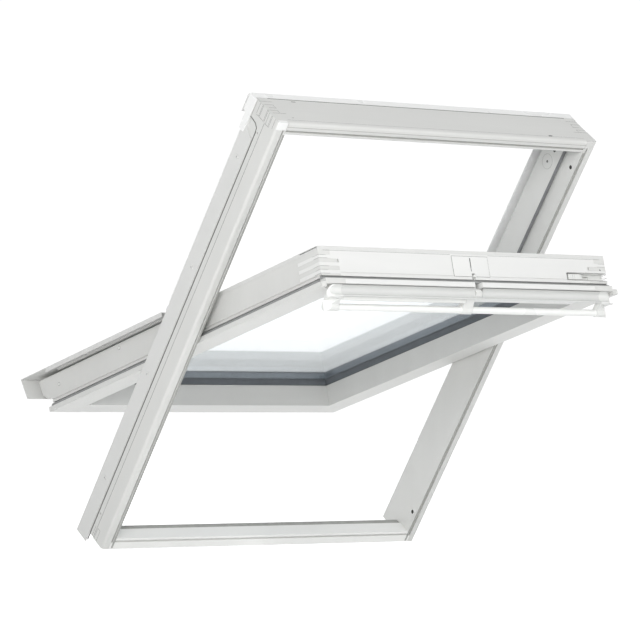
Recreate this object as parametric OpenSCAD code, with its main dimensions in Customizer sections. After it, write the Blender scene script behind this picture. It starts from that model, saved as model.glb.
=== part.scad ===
// Centre-pivot roof window: a white timber frame with a glazed sash that turns
// about its middle, shown leaning at the roof pitch with the sash turned open.
// The parts are drawn upright and closed, with X across, Y from the room to the
// outside and Z up the slope, and are then turned open and leant back.
// The origin is the middle of the frame's bottom face, at its room side.

/* [Window] */
// Width over the frame timber
frame_w = 780; // [550:10:1140]
// Height over the frame timber, up the slope
frame_h = 978; // [780:10:1400]
// Pitch of the roof in degrees
roof_pitch = 54.25; // [35:0.25:75]
// Angle at which the sash stands open, in degrees
open_angle = 40; // [20:1:60]

/* [Frame timber] */
// Width of the frame's room side face
rail_face = 25; // [22:1:32]
// Depth of the frame in its lower half
rail_depth = 86; // [80:1:92]
// Extra depth of the frame in its upper half
upper_rise = 10; // [6:1:12]
// How far the closing step stands in
step_in = 10; // [8:1:12]
// Depth of the closing step behind the room side face
step_at = 41; // [38:1:48]
// How much further out the head's closing step and the sash's top lip lie
head_shift = 6.5; // [5:0.5:8]
// Depth of the bottom rail
sill_depth = 50; // [46:1:52]
// Radius of the frame's outer room side edge
edge_r = 6; // [3:1:8]
// Width of the lining groove
groove_w = 4; // [3:0.5:6]
// Depth of the lining groove
groove_d = 6; // [4:1:8]
// Distance of the lining groove's middle from the outer face
groove_at = 18; // [15:1:18]
// Diameter of the bracket screw holes in the side rails
fix_hole_d = 4; // [3:0.5:6]
// Depth of the bracket screw holes
fix_hole_deep = 15; // [8:1:16]
// Distance of each bracket screw hole from its end of the frame
fix_hole_in = 52; // [40:1:80]
// Depth of the bracket screw holes behind the room side face
fix_hole_at = 46; // [42:1:50]

/* [Sash timber] */
// Gap between the sash body and the closing step, all round
sash_gap = 6; // [5:0.5:8]
// Depth of the sash from its outside edge to its room side face
sash_depth = 80; // [74:1:82]
// Width of the side rails
stile_w = 45; // [40:1:60]
// Width of the top rail
top_rail_w = 64; // [56:1:90]
// Width of the bottom rail
bottom_rail_w = 58; // [50:1:80]
// How far the room side lip stands out past the sash body
lip_over = 11; // [8:0.5:11.5]
// Thickness of the room side lip
lip_t = 10; // [8:1:12]
// Width of the pocket for the sash seal
seal_slot = 10; // [8:1:12]
// Depth of the glass rebate across the rails
rebate_w = 18; // [14:1:22]
// How far the sash laps over the frame's bottom rail
sill_lap = 39; // [30:1:45]

/* [Glass] */
// Thickness of each pane
pane_t = 4; // [3:0.5:6]
// Gap between the panes
pane_gap = 12; // [8:1:14]
// Thickness of the inner glazing seal
seal_t = 2; // [1.5:0.5:3]
// Gap between the edge of the glass and its rebate
glass_gap = 3; // [2:0.5:5]

/* [Outside covers] */
// Thickness of the cover metal
sheet_t = 1.5; // [1:0.1:2]
// Height of the covers above the sash's outside edge
cover_rise = 2; // [1.5:0.5:4]
// How far the covers' outer edges stand in from the frame's outer face
cover_in = 14; // [10:1:18]
// Height of the turned down edge of the sash covers
cover_edge = 9; // [6:0.5:10]
// Height of the bottom cover's front leg
drip_leg = 44; // [30:1:48]
// How far the bottom cover stands out past the end of the sash rails
drip_out = 24; // [18:1:30]
// Half the length of the break in the covers at the pivot
cover_break = 17; // [15:1:24]

/* [Pivot] */
// Height of the pivot above the middle of the frame
pivot_up = -1; // [-2:0.5:2]
// Distance of the pivot outside the sash's outside edge
pivot_out = 3; // [2:0.5:5]
// Diameter of the pivot pin
pin_d = 10; // [8:1:12]
// Radial running clearance of the pivot pin
pin_play = 0.05; // [0.02:0.01:0.1]
// Thickness of the hinge plates
hinge_t = 3.5; // [3:0.1:4]
// Radius of the eye around the pin
eye_r = 10; // [9:1:12]

/* [Vent flap] */
// Length of the flap and its bar
flap_w = 688; // [450:2:1000]
// Wall thickness of the flap profile
flap_t = 2.5; // [2:0.1:3.5]
// Diameter of the grip bar
grip_d = 13; // [11:0.5:15]
// Width of each end cap
cap_w = 30; // [20:1:40]
// Angle through which the flap opens, in degrees
flap_travel = 30; // [20:1:35]

/* [Barrel bolt] */
// Diameter of the bolt
bolt_d = 8; // [6:0.5:9]
// Length of the bolt
bolt_len = 72; // [66:1:80]
// Radial clearance of the bolt in its guide
bolt_play = 0.1; // [0.05:0.01:0.2]
// Travel of the bolt
bolt_travel = 24; // [20:1:28]

/* [Hidden] */
$fn = 48;

timber = [0.86, 0.86, 0.84];
lacquer = [0.9, 0.9, 0.88];
metal_white = [0.93, 0.93, 0.92];
seal_grey = [0.35, 0.37, 0.38];
steel = [0.7, 0.71, 0.72];
glass_tint = [0.8, 0.88, 0.96, 0.5];
plastic_white = [0.92, 0.93, 0.91];
touch = 0.01;

half_w = frame_w / 2;
room_half = half_w - rail_face;             // frame opening at the room side
step_half = room_half - step_in;            // frame opening past the step
sill_top = rail_face;                       // top of the bottom rail
head_low = frame_h - rail_face;             // underside of the top rail
head_step = head_low - step_in;
full_depth = rail_depth + upper_rise;

sash_half = step_half - sash_gap;
lip_half = sash_half + lip_over;
sash_top = head_step - sash_gap;
lip_top = sash_top + lip_over;
sash_low = sill_top + 4;                    // room side edge of the sash bottom
sash_end = sash_low - sill_lap;             // outside edge of the sash bottom
sash_room = step_at - 4 - lip_t;            // room side face of the closed sash
sash_out = sash_room + sash_depth;          // outside edge of the closed sash
lip_back = sash_room + lip_t;
slot_back = lip_back + seal_slot;
top_lip = sash_room + head_shift - 0.5;     // room side face of the lip at the top
top_back = lip_back + head_shift;
top_slot = slot_back + 4;                   // outer side of the seal pocket at the top
head_at = step_at + head_shift;             // depth of the head's closing step
timber_out = sash_out - 6.5;                // sash timber under its metal beads
stile_in = sash_half - stile_w;
rebate_half = stile_in + rebate_w;
glass_room = sash_out - 2 - 2 * pane_t - pane_gap;
rebate_at = glass_room - seal_t;
bead_set = 2.5;                             // how far the inner seal's leg is let in
bead_from = rebate_at - 12;
glass_half = rebate_half - glass_gap;
sash_head_in = sash_top - top_rail_w;
sash_sill_in = sash_low + bottom_rail_w;
glass_top = sash_head_in + rebate_w - glass_gap;
glass_low = sash_sill_in - rebate_w + glass_gap;
lap_at = sill_depth + 7;                    // underside of the lap over the sill

head_hole_extra = 3;                        // the upper screw holes are drilled deeper
cover_at = sash_out + cover_rise;           // underside of the outside covers
cover_half = half_w - cover_in;
cover_lap = sash_half - 2.5;                // inner edge of the frame's covers
cladding_at = 54;                           // where the side cladding begins
cladding_top = 92;
cladding_end = -21;

pivot_s = frame_h / 2 + pivot_up;
pivot_n = sash_out + pivot_out;
step_from = pivot_s + 56;                   // where the closing step begins
frame_finger = 9.5;                         // thickness of one corner finger
sash_finger = 7;

bolt_s = sash_top - 19;
bolt_n = sash_out - 43;
bolt_reach = sqrt(pow(bolt_s - pivot_s, 2) + pow(bolt_n - pivot_n, 2));
bolt_lean = atan((pivot_n - bolt_n) / (bolt_s - pivot_s));
vent_angle = 6.7;                           // sash angle that the upper bush holds
clean_angle = 161;                          // sash angle that the lower bush holds
bolt_x0 = sash_half - 96;                   // inner end of the bolt's slot
knob_x = bolt_x0 + 30;
bolt_tip = sash_half - 1;
lock_x = 9;
lock_n = slot_back + 17;
latch_x = lock_x + 4;
latch_n = sash_room + 8;                    // pin of the latch hook
latch_s = sash_top - 8;
strike_n = step_at + 11;                    // lip of the strike plate
strike_t = 3;
claw_n = strike_n + strike_t + 0.4;         // face of the claw behind that lip
claw_half = 3;

flap_hinge_n = sash_room - 5;               // pins of the vent flap
flap_hinge_s = sash_top - 16;
flap_hinge_x = [-230, 230];
flap_half = flap_w / 2;
cap_in = flap_half - cap_w;
scoop_n = sash_room - 6.5;                  // centre of the flap's hollow front
scoop_s = sash_top + 15;
scoop_r = 9.5;
scoop_out = scoop_r + flap_t;
grip_n = sash_room - 31.5;
grip_s = sash_top - 13;

// Places a part of the upright frame on the leaning roof
module in_roof() {
    rotate([90 - roof_pitch, 0, 0]) children();
}

// Turns a part of the closed sash open about the pivot, then leans it
module on_sash() {
    in_roof()
        translate([0, pivot_n, pivot_s])
            rotate([open_angle, 0, 0])
                translate([0, -pivot_n, -pivot_s]) children();
}

// Runs an outline of [depth, height] points across the window
module across(x0, x1) {
    translate([x0, 0, 0]) rotate([90, 0, 90]) linear_extrude(x1 - x0) children();
}

// Runs an outline of [x, depth] points up the slope
module upslope(z0, z1) {
    translate([0, 0, z0]) linear_extrude(z1 - z0) children();
}

module block(x0, x1, y0, y1, z0, z1) {
    translate([x0, y0, z0]) cube([x1 - x0, y1 - y0, z1 - z0]);
}

// Bar along X
module rod(x0, x1, y, z, r) {
    translate([x0, y, z]) rotate([0, 90, 0]) cylinder(r = r, h = x1 - x0);
}

function arc(x, y, r, from, to, steps = 6) =
    [for (i = [0 : steps])
        let (a = from + (to - from) * i / steps)
        [x + r * cos(a), y + r * sin(a)]];

// ---- frame timber ----

// Section of a side rail on the +X side; the upper one has the closing step
function side_section(upper) = concat(
    arc(half_w - edge_r, edge_r, edge_r, -90, 0),
    [[half_w, 36], [half_w - sheet_t, 37.5], [half_w - sheet_t, rail_depth]],
    upper
        ? [[cover_half - 4, rail_depth], [cover_half - 4, full_depth],
           [step_half, full_depth], [step_half, step_at], [room_half, step_at]]
        : [[room_half, rail_depth]],
    arc(room_half + 1.5, 1.5, 1.5, 180, 270, 3));

// Comb of corner fingers through a frame corner, kept by the top rail
module frame_fingers() {
    for (i = [0 : 2])
        block(room_half, half_w + 1, 32 + i * 19, 32 + i * 19 + frame_finger,
            head_low, frame_h + 1);
}

module frame_side_rail() {
    difference() {
        union() {
            upslope(0, step_from) polygon(side_section(false));
            upslope(step_from, frame_h) polygon(side_section(true));
        }
        // lining groove
        block(half_w - groove_at - groove_w / 2, half_w - groove_at + groove_w / 2,
            -1, groove_d, groove_at - groove_w / 2, frame_h - groove_at + groove_w / 2);
        // the top cover's thickness, the top rail and the bottom rail
        block(0, room_half, -1, full_depth + 1, head_step, frame_h + 1);
        block(0, half_w + 1, rail_depth + 1, full_depth + 1, frame_h - sheet_t, frame_h + 1);
        frame_fingers();
        block(0, half_w - groove_at - groove_w / 2 + groove_w, -1, 10, -1, groove_at - 4);
        // bracket screw holes from outside
        rod(half_w - fix_hole_deep, half_w + 1, fix_hole_at, fix_hole_in, fix_hole_d / 2);
        rod(half_w - fix_hole_deep - head_hole_extra, half_w + 1, fix_hole_at,
            frame_h - fix_hole_in, fix_hole_d / 2);
        // hinge recess
        block(room_half - 1, room_half + hinge_t, pivot_n - 65, full_depth + 1,
            pivot_s - 23, pivot_s + 23);
        hinge_frame_bores();
        cladding_bores();
    }
}

module bush_hole(angle, r, deep) {
    turn = -bolt_lean - angle;
    rod(step_half - 1, room_half + deep,
        pivot_n + bolt_reach * sin(turn), pivot_s + bolt_reach * cos(turn), r);
}

module frame_left_rail() {
    color(timber) in_roof() mirror([1, 0, 0]) frame_side_rail();
}

module frame_right_rail() {
    color(timber) in_roof() difference() {
        frame_side_rail();
        bush_hole(vent_angle, 6, 16);
        bush_hole(clean_angle, 6, 16);
        // plain bore for the bolt when the sash is shut
        bush_hole(0, bolt_d / 2 + 0.6, 14);
    }
}

module frame_top_rail() {
    outline = concat(
        [[rail_depth + 1, frame_h], [rail_depth + 1, frame_h - sheet_t],
         [full_depth, frame_h - sheet_t], [full_depth, head_step],
         [head_at, head_step], [head_at, head_low]],
        arc(1.5, head_low + 1.5, 1.5, 270, 180, 3),
        arc(edge_r, frame_h - edge_r, edge_r, 180, 90));
    color(timber) in_roof() difference() {
        union() {
            across(-room_half, room_half) polygon(outline);
            for (m = [0, 1]) mirror([m, 0, 0]) intersection() {
                frame_fingers();
                upslope(head_low, frame_h) polygon(side_section(true));
            }
        }
        // lining groove
        block(-room_half - touch, room_half + touch, -1, groove_d,
            frame_h - groove_at - groove_w / 2, frame_h - groove_at + groove_w / 2);
        // seat of the strike plate
        block(lock_x - 40, lock_x + 40, strike_n, strike_n + 24, head_step - 1, head_step + 2);
    }
}

module frame_bottom_rail() {
    outline = concat(
        [[0, 0], [sill_depth, 0], [sill_depth, 16], [47, 20], [34, 20.5],
         [33, sill_top - 2], [31, sill_top]],
        arc(1.5, sill_top - 1.5, 1.5, 90, 180, 3));
    lip_end = half_w - groove_at + groove_w / 2;
    color(timber) in_roof() difference() {
        union() {
            across(-room_half, room_half) polygon(outline);
            block(-lip_end, lip_end, 0, 10, 0, groove_at - 4);
        }
        block(-half_w, half_w, -1, groove_d,
            groove_at - groove_w / 2, groove_at + groove_w / 2);
    }
}

module frame_step_seal() {
    t = 3;
    color(seal_grey) in_roof() {
        for (m = [0, 1]) mirror([m, 0, 0])
            block(step_half + 0.5, step_half + 6.5, step_at - t, step_at, step_from, head_step);
        block(-step_half, step_half, head_at - t, head_at, head_step, head_low - 0.5);
    }
}

module frame_sill_seal() {
    color(seal_grey) in_roof()
        across(-room_half, room_half)
            polygon([[34, 20.5], [47, 20], [46, 21.5], [41, 22.3], [34.5, 22.5]]);
}

// ---- frame metal ----

// Side cladding: a leg outside the timber and a flange over it
module cladding() {
    top_end = frame_h - 43;
    difference() {
        union() {
            block(half_w - sheet_t, half_w, cladding_at, cladding_top, cladding_end, top_end);
            block(room_half + 12, half_w - sheet_t, rail_depth, rail_depth + sheet_t,
                0, step_from);
        }
        // curved top end
        translate([half_w - 5, cladding_at, top_end]) rotate([0, 90, 0])
            cylinder(r = 26, h = 10);
        cladding_bores();
    }
}

module side_cladding_left() {
    color(metal_white) in_roof() mirror([1, 0, 0]) cladding();
}

module side_cladding_right() {
    color(metal_white) in_roof() cladding();
}

module top_cover() {
    front = frame_h - sheet_t;
    outer = [[rail_depth + 1, frame_h], [cover_at - 5, frame_h],
             [cover_at + sheet_t, frame_h - 6], [cover_at + sheet_t, head_step - 8.5],
             [cover_at, head_step - 8.5], [cover_at, frame_h - 6.6],
             [cover_at - 5.6, front], [rail_depth + 1, front]];
    color(metal_white) in_roof() {
        across(-half_w, half_w) polygon(outer);
        for (m = [0, 1]) mirror([m, 0, 0])
            across(half_w, half_w + sheet_t)
                polygon([[84, frame_h - 72], [cladding_top + 2, frame_h - 72],
                         [cladding_top + 6, frame_h - 68], [cladding_top + 6, frame_h - 40],
                         [cover_at - 4, frame_h - 34], [cover_at - 4, frame_h - 2],
                         [cover_at - 6, frame_h], [80, frame_h], [80, frame_h - 40]]);
    }
}

// Cover of the upper half: a web on the cladding side and a flange over the sash
module upper_cover() {
    upslope(pivot_s + cover_break, head_step - 9)
        polygon([[cover_half, rail_depth + sheet_t], [cover_half, cover_at + sheet_t],
                 [cover_lap, cover_at + sheet_t], [cover_lap, cover_at],
                 [cover_half - sheet_t, cover_at],
                 [cover_half - sheet_t, rail_depth + sheet_t]]);
}

module upper_cover_left() {
    color(metal_white) in_roof() mirror([1, 0, 0]) upper_cover();
}

module upper_cover_right() {
    color(metal_white) in_roof() upper_cover();
}

// Screws through the cladding's leg into the side rail
cladding_screw_s = [for (i = [0 : 3]) 120 + i * (frame_h - 240) / 3];

module cladding_bores() {
    for (s = cladding_screw_s) rod(half_w - 14, half_w + 1, 72, s, 1.8);
}

module cladding_screws() {
    color(steel) in_roof()
        for (m = [0, 1], s = cladding_screw_s) mirror([m, 0, 0]) {
            rod(half_w - 14, half_w, 72, s, 1.8);
            rod(half_w, half_w + 1.6, 72, s, 4);
        }
}

// ---- hinges ----

// Plate let into the frame's side rail, with an eye around the pivot
module hinge_frame() {
    x0 = room_half;
    difference() {
        union() {
            block(x0, x0 + hinge_t, pivot_n - 65, pivot_n - 14, pivot_s - 23, pivot_s + 23);
            across(x0, x0 + hinge_t)
                polygon([[pivot_n - 15, pivot_s - 14], [pivot_n, pivot_s - eye_r],
                         [pivot_n, pivot_s + eye_r], [pivot_n - 15, pivot_s + 14]]);
            rod(x0, x0 + hinge_t, pivot_n, pivot_s, eye_r);
        }
        rod(x0 - 1, x0 + hinge_t + 1, pivot_n, pivot_s, pin_d / 2 + pin_play);
        hinge_frame_bores();
    }
}

module hinge_frame_bores() {
    for (dn = [-54, -27], ds = [-15, 15])
        rod(room_half - 1, room_half + hinge_t + 10, pivot_n + dn, pivot_s + ds, 2.1);
}

module hinge_frame_left() {
    color(steel) in_roof() mirror([1, 0, 0]) hinge_frame();
}

module hinge_frame_right() {
    color(steel) in_roof() hinge_frame();
}

module hinge_frame_screws() {
    color(steel) in_roof()
        for (m = [0, 1], dn = [-54, -27], ds = [-15, 15]) mirror([m, 0, 0]) {
            rod(room_half - 1.2, room_half + hinge_t + 10, pivot_n + dn, pivot_s + ds, 2.1);
            rod(room_half - 1.2, room_half, pivot_n + dn, pivot_s + ds, 4);
        }
}

// Plate on the sash's side rail, with the pivot pin
module hinge_sash() {
    x0 = sash_half;
    difference() {
        union() {
            block(x0, x0 + hinge_t, pivot_n - 56, pivot_n - 14, pivot_s - 40, pivot_s + 40);
            across(x0, x0 + hinge_t)
                polygon([[pivot_n - 15, pivot_s - 14], [pivot_n, pivot_s - eye_r],
                         [pivot_n, pivot_s + eye_r], [pivot_n - 15, pivot_s + 14]]);
            rod(x0, x0 + hinge_t, pivot_n, pivot_s, eye_r);
            rod(x0 + hinge_t, room_half + hinge_t + 2, pivot_n, pivot_s, pin_d / 2);
        }
        hinge_sash_bores();
    }
}

module hinge_sash_bores() {
    for (ds = [-30, 0, 30])
        rod(sash_half - 20, sash_half + hinge_t + 1, pivot_n - 36, pivot_s + ds, 2.1);
}

module hinge_sash_left() {
    color(steel) on_sash() mirror([1, 0, 0]) hinge_sash();
}

module hinge_sash_right() {
    color(steel) on_sash() hinge_sash();
}

module hinge_sash_screws() {
    color(steel) on_sash()
        for (m = [0, 1], ds = [-30, 0, 30]) mirror([m, 0, 0]) {
            rod(sash_half - 20, sash_half + hinge_t, pivot_n - 36, pivot_s + ds, 2.1);
            rod(sash_half + hinge_t, sash_half + hinge_t + 1.2, pivot_n - 36, pivot_s + ds, 4);
        }
}

// ---- frame furniture ----

module strike_plate() {
    color(steel) in_roof() difference() {
        union() {
            block(lock_x - 40, lock_x + 40, strike_n, strike_n + 24, head_step, head_step + 2);
            block(latch_x - 12, latch_x + 12, strike_n, strike_n + strike_t,
                head_step - 4, head_step);
        }
        for (x = [lock_x - 30, lock_x + 30])
            translate([x, strike_n + 13, head_step - 1]) cylinder(r = 2.2, h = 4);
    }
}

module bolt_bushes() {
    color(plastic_white) in_roof() difference() {
        intersection() {
            union() {
                bush_hole(vent_angle, 6, 16);
                bush_hole(clean_angle, 6, 16);
            }
            block(room_half, half_w, -100, 300, 0, frame_h);
        }
        bush_hole(vent_angle, bolt_d / 2 + 0.4, 14);
        bush_hole(clean_angle, bolt_d / 2 + 0.4, 14);
    }
}

// ---- sash timber ----

// Section of a side rail on the +X side
sash_outline = [
    [stile_in, sash_room], [lip_half - 1, sash_room], [lip_half, sash_room + 1],
    [lip_half, lip_back], [sash_half - 5, lip_back], [sash_half - 5, slot_back],
    [sash_half, slot_back], [sash_half, slot_back + 4], [sash_half - 2, slot_back + 4.5],
    [sash_half - 2, slot_back + 6], [sash_half, slot_back + 6.5],
    [sash_half, timber_out], [rebate_half, timber_out], [rebate_half, rebate_at],
    [stile_in + bead_set, rebate_at], [stile_in + bead_set, bead_from],
    [stile_in, bead_from - 1]];

// Comb of corner fingers through a sash corner, kept by the top rail
module sash_fingers() {
    for (i = [0 : 2])
        block(stile_in - touch, sash_half, slot_back + 8 + i * 14.5,
            slot_back + 8 + i * 14.5 + sash_finger, sash_head_in, sash_top + touch);
}

module sash_side_rail() {
    difference() {
        union() {
            upslope(sash_end, sash_top) polygon(sash_outline);
            block(sash_half, lip_half, sash_room, lip_back, sash_top - 1, lip_top);
            block(stile_in, sash_half, top_lip, top_back, sash_top - 6, lip_top);
            block(sash_half - 1, sash_half + 1, top_lip, lip_back, sash_top - 1, lip_top);
        }
        // seal pocket across the top
        block(0, sash_half + 1, top_back, top_slot, sash_top - 5, sash_top + 1);
        sash_fingers();
        hinge_sash_bores();
        cover_screw_bores();
        // the bottom end: square in the room, and lapping over the sill outside
        across(0, lip_half + 1)
            polygon([[sash_room - 1, sash_end - 1], [sash_out + 1, sash_end - 1],
                     [sash_out + 1, sash_end + 0.01], [sash_out - 12, sash_end],
                     [lap_at + 12, sash_end + 8], [lap_at, sash_low - 14],
                     [lap_at, sash_low], [sash_room - 1, sash_low]]);
    }
}

module sash_left_rail() {
    color(timber) on_sash() mirror([1, 0, 0]) sash_side_rail();
}

module sash_right_rail() {
    color(timber) on_sash() difference() {
        sash_side_rail();
        bolt_slot();
    }
}

// Slot for the barrel bolt, open at the end face and at the side
module bolt_slot() {
    slot_half = 7;
    block(bolt_x0 - 6, lip_half, bolt_n - slot_half, bolt_n + slot_half,
        bolt_s - slot_half, lip_top + 1);
}

module sash_top_rail() {
    outline = [
        [sash_room, sash_head_in], [sash_room, sash_top], [top_lip, sash_top],
        [top_lip, lip_top - 1], [top_lip + 1, lip_top], [top_back - 1, lip_top],
        [top_back, lip_top - 1], [top_back, sash_top - 5], [top_slot, sash_top - 5],
        [top_slot, sash_top], [top_slot + 6, sash_top], [top_slot + 6.5, sash_top - 1],
        [top_slot + 7, sash_top], [timber_out, sash_top], [timber_out, sash_head_in + rebate_w],
        [rebate_at, sash_head_in + rebate_w], [rebate_at, sash_head_in + bead_set],
        [bead_from, sash_head_in + bead_set], [bead_from - 1, sash_head_in]];
    color(lacquer) on_sash() difference() {
        union() {
            across(-stile_in, stile_in) polygon(outline);
            intersection() {
                across(-rebate_half, rebate_half) polygon(outline);
                block(-half_w, half_w, rebate_at, sash_out, sash_head_in, sash_top);
            }
            for (m = [0, 1]) mirror([m, 0, 0]) difference() {
                sash_fingers();
                block(0, rebate_half, rebate_at, sash_out, sash_head_in, sash_head_in + rebate_w);
                block(0, stile_in + bead_set, bead_from - 1, sash_out, sash_head_in - 1,
                    sash_head_in + bead_set);
            }
        }
        bolt_slot();
        latch_slot();
        cover_screw_bores();
        // pocket of the lock case
        block(lock_x - 36, lock_x + 36, lock_n, lock_n + 30, sash_top - 30, sash_top + 1);
    }
}

module sash_bottom_rail() {
    outline = [
        [sash_room, sash_low], [sash_room, sash_sill_in], [bead_from - 1, sash_sill_in],
        [bead_from, sash_sill_in - bead_set], [rebate_at, sash_sill_in - bead_set],
        [rebate_at, sash_sill_in - rebate_w], [timber_out, sash_sill_in - rebate_w],
        [timber_out, sash_end], [sash_out - 12, sash_end], [lap_at + 12, sash_end + 8],
        [lap_at, sash_low - 14], [lap_at, sash_low]];
    color(timber) on_sash() difference() {
        union() {
            across(-stile_in, stile_in) polygon(outline);
            intersection() {
                across(-rebate_half, rebate_half) polygon(outline);
                block(-half_w, half_w, rebate_at, sash_out, sash_end, sash_sill_in);
            }
        }
        cover_screw_bores();
    }
}

// Seal strips pushed into the pockets at the sides and across the top
module sash_seal() {
    foot = sash_half - 5;
    out = sash_half + 4;
    head = sash_top - 5;
    color(seal_grey) on_sash() {
        for (m = [0, 1]) mirror([m, 0, 0])
            upslope(sash_low, head - 1)
                polygon([[foot, lip_back], [out, lip_back], [out, lip_back + 5],
                         [out - 3, lip_back + 8], [foot, slot_back]]);
        across(-sash_half, sash_half)
            polygon([[top_back, head], [top_back, head + 9], [top_back + 3, head + 9],
                     [top_back + 5.5, head + 4], [top_slot, head]]);
    }
}

// ---- glass ----

// A flat ring around the glass, from one depth to another
module ring(out_half, out_low, out_top, width, y0, y1) {
    difference() {
        block(-out_half, out_half, y0, y1, out_low, out_top);
        block(-out_half + width, out_half - width, y0 - 1, y1 + 1,
            out_low + width, out_top - width);
    }
}

module pane(y0) {
    color(glass_tint) on_sash()
        block(-glass_half, glass_half, y0, y0 + pane_t, glass_low, glass_top);
}

module inner_pane() {
    pane(glass_room);
}

module outer_pane() {
    pane(glass_room + pane_t + pane_gap);
}

module pane_spacer() {
    set_in = 4;
    color(steel) on_sash()
        ring(glass_half - set_in, glass_low + set_in, glass_top - set_in, 8,
            glass_room + pane_t, glass_room + pane_t + pane_gap);
}

module inner_glazing_seal() {
    leg_out = stile_in + bead_set;
    lip = 1;
    color([0.42, 0.46, 0.5]) on_sash() {
        ring(glass_half, glass_low, glass_top, glass_half - stile_in + lip,
            rebate_at, glass_room);
        ring(leg_out, sash_sill_in - bead_set, sash_head_in + bead_set, bead_set - 0.5,
            bead_from, rebate_at);
    }
}

module outer_glazing_seal() {
    y0 = sash_out - 2;
    color(seal_grey) on_sash()
        ring(glass_half, glass_low, glass_top, 8, y0, y0 + 2 - sheet_t);
}

module setting_blocks() {
    color(seal_grey) on_sash()
        for (m = [0, 1]) mirror([m, 0, 0])
            block(glass_half - 180, glass_half - 80, glass_room + 1,
                glass_room + 2 * pane_t + pane_gap - 1, glass_low - glass_gap, glass_low);
}

// ---- sash metal ----

screw_x = (rebate_half + sash_half) / 2;
screw_s = concat(
    [for (i = [0 : 2]) 110 + i * (pivot_s - 190) / 2],
    [for (i = [0 : 2]) pivot_s + 50 + i * (sash_top - 80 - pivot_s) / 2]);

// Screws through the outside metal into the sash timber
module cover_screw_axes(y1, r) {
    for (m = [0, 1], s = screw_s) mirror([m, 0, 0])
        translate([screw_x, timber_out - 14, s]) rotate([-90, 0, 0])
            cylinder(r = r, h = y1 - timber_out + 14);
}

module cover_screw_bores() {
    cover_screw_axes(sash_out + 1, 1.8);
}

module cover_screws() {
    color(steel) on_sash() {
        cover_screw_axes(sash_out, 1.8);
        intersection() {
            cover_screw_axes(sash_out + 1.5, 3.6);
            block(-half_w, half_w, sash_out, sash_out + 2, 0, frame_h);
        }
    }
}

glass_cover = glass_half - 7;               // inner edge of the outside metal

module glazing_bead() {
    difference() {
        upslope(pivot_s, sash_top - sheet_t)
            polygon([[glass_cover, sash_out], [sash_half, sash_out],
                     [sash_half, timber_out], [sash_half - sheet_t, timber_out],
                     [sash_half - sheet_t, sash_out - sheet_t],
                     [glass_cover, sash_out - sheet_t]]);
        cover_screw_bores();
        block(0, glass_cover + 40, sash_out - 3, sash_out + 1, glass_top - 7, sash_top + 1);
    }
}

module glazing_bead_left() {
    color(metal_white) on_sash() mirror([1, 0, 0]) glazing_bead();
}

module glazing_bead_right() {
    color(metal_white) on_sash() glazing_bead();
}

module glazing_bead_top() {
    low = glass_top - 7;
    color(metal_white) on_sash() difference() {
        union() {
            across(-sash_half, sash_half)
                polygon([[sash_out - sheet_t, low], [sash_out, low], [sash_out, sash_top],
                         [timber_out, sash_top], [timber_out, sash_top - sheet_t],
                         [sash_out - sheet_t, sash_top - sheet_t]]);
        }
        for (m = [0, 1]) mirror([m, 0, 0])
            block(glass_cover + 40, sash_half + 1, sash_out - 9, sash_out + 1, low - 1,
                sash_top - sheet_t);
        cover_screw_bores();
    }
}

module lower_cover() {
    leg = sash_half - sheet_t;
    top = cover_at + sheet_t;
    difference() {
        upslope(apron_s, pivot_s - cover_break)
            polygon([[cover_half, top - cover_edge], [cover_half, top],
                     [leg - sheet_t, top], [leg - sheet_t, sash_out],
                     [glass_cover, sash_out], [glass_cover, sash_out - sheet_t],
                     [leg, sash_out - sheet_t], [leg, cover_at],
                     [cover_half - sheet_t, cover_at],
                     [cover_half - sheet_t, top - cover_edge]]);
        cover_screw_bores();
    }
}

apron_s = glass_low - 14;                   // where the side covers meet the bottom cover

module lower_cover_left() {
    color(metal_white) on_sash() mirror([1, 0, 0]) lower_cover();
}

module lower_cover_right() {
    color(metal_white) on_sash() lower_cover();
}

module bottom_cover() {
    top = cover_at + sheet_t;
    front = sash_end - drip_out;
    leg_n = top - drip_leg;
    color(metal_white) on_sash() {
        across(-cover_half, cover_half)
            polygon([[cover_at, apron_s], [top, apron_s], [top, front],
                     [leg_n, front + 14], [leg_n, front + 15.6],
                     [cover_at, front + sheet_t + 0.5]]);
        across(-glass_cover, glass_cover)
            polygon([[sash_out - sheet_t, glass_low + 10], [sash_out, glass_low + 10],
                     [sash_out, apron_s + sheet_t], [top, apron_s + sheet_t],
                     [top, apron_s], [sash_out - sheet_t, apron_s]]);
    }
}

// ---- lock and bolt ----

module lock_case() {
    color(steel) on_sash() difference() {
        block(lock_x - 36, lock_x + 36, lock_n, lock_n + 30, sash_top - 30, sash_top - 0.1);
        block(lock_x - 0.9, lock_x + 0.9, lock_n + 3, lock_n + 27, sash_top - 12, sash_top);
    }
}

// Slot through the lip for the latch hook, with its pin hole
module latch_slot() {
    block(latch_x - 9, latch_x + 9, sash_room - 1, top_back, sash_top - 20, lip_top + 1);
    block(latch_x - claw_half - 1, latch_x + claw_half + 1, top_back - 1, lock_n,
        sash_top - 20, sash_top + 1);
    rod(latch_x - 16, latch_x + 16, latch_n, latch_s, 2.1);
}

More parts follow.
